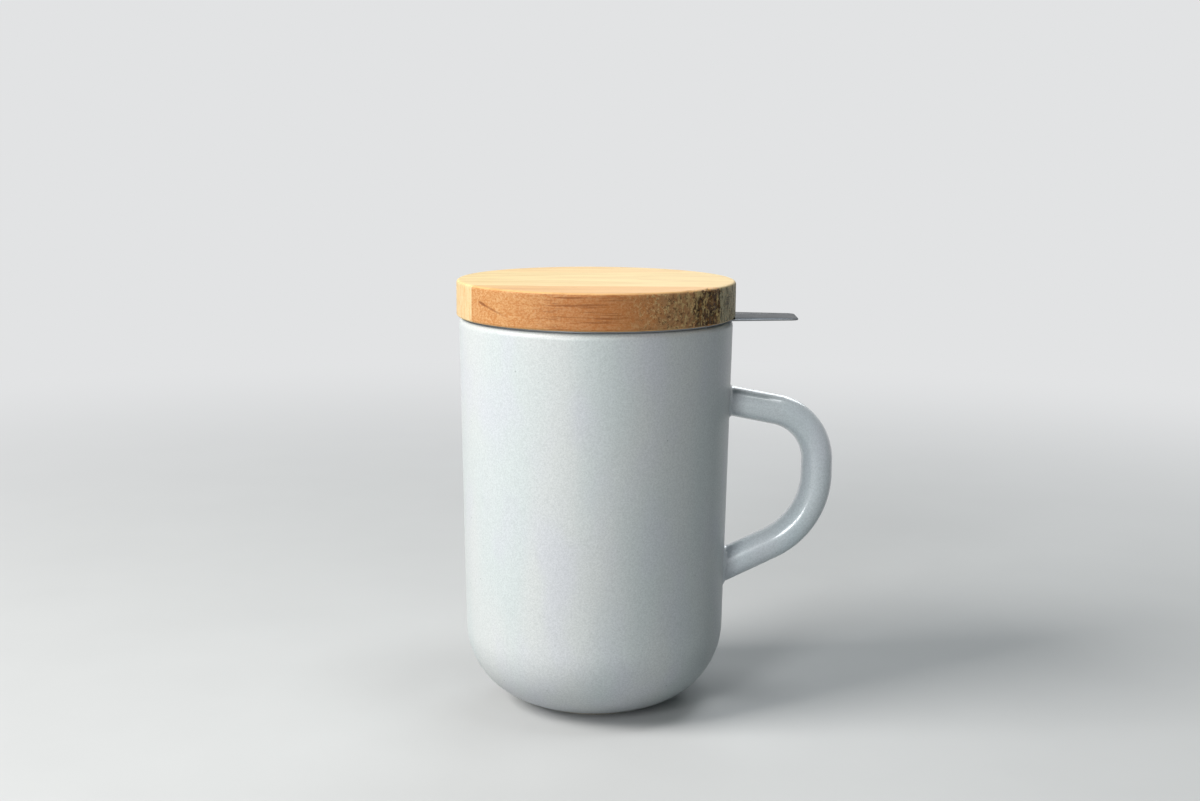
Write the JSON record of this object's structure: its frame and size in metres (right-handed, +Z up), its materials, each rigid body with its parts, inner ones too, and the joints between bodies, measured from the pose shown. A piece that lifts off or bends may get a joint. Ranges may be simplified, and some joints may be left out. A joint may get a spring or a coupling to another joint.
{
  "type": "lidded tea mug with infuser",
  "caption": "Tall ceramic mug with a loop handle, a hanging perforated steel infuser with a lifting tab, and a round wooden lid with a seal ring.",
  "frame": {"origin": "mug's axis on the table, at the foot of the foot ring", "axes": "+Z up along the mug's axis, +X towards the handle and the infuser's tab, +Y to the left seen from the handle's end"},
  "size_m": [0.1165, 0.0854, 0.1325],
  "materials": {
    "glaze": "satin pale celadon glaze with a fine mottle",
    "steel": "fine brushed stainless steel",
    "wood_front": "oiled hardwood, orange brown",
    "wood_middle": "oiled hardwood, pale honey",
    "wood_back": "oiled hardwood, warm honey",
    "silicone": "matt translucent silicone"
  },
  "bodies": {
    "mug": {"mug_body": "glaze", "mug_handle": "glaze"},
    "infuser": {"infuser_rim": "steel", "infuser_collar": "steel", "infuser_wall": "steel", "infuser_floor": "steel"},
    "lid": {"lid_stave_front": "wood_front", "lid_stave_middle": "wood_middle", "lid_stave_back": "wood_back", "lid_seal": "silicone"}
  },
  "joints": [
    {"name": "infuser_lift", "type": "slide", "parent": "mug", "child": "infuser", "axis": [0, 0, 1], "range_m": [0, 0.1]},
    {"name": "lid_lift", "type": "slide", "parent": "infuser", "child": "lid", "axis": [0, 0, 1], "range_m": [0, 0.06]}
  ]
}
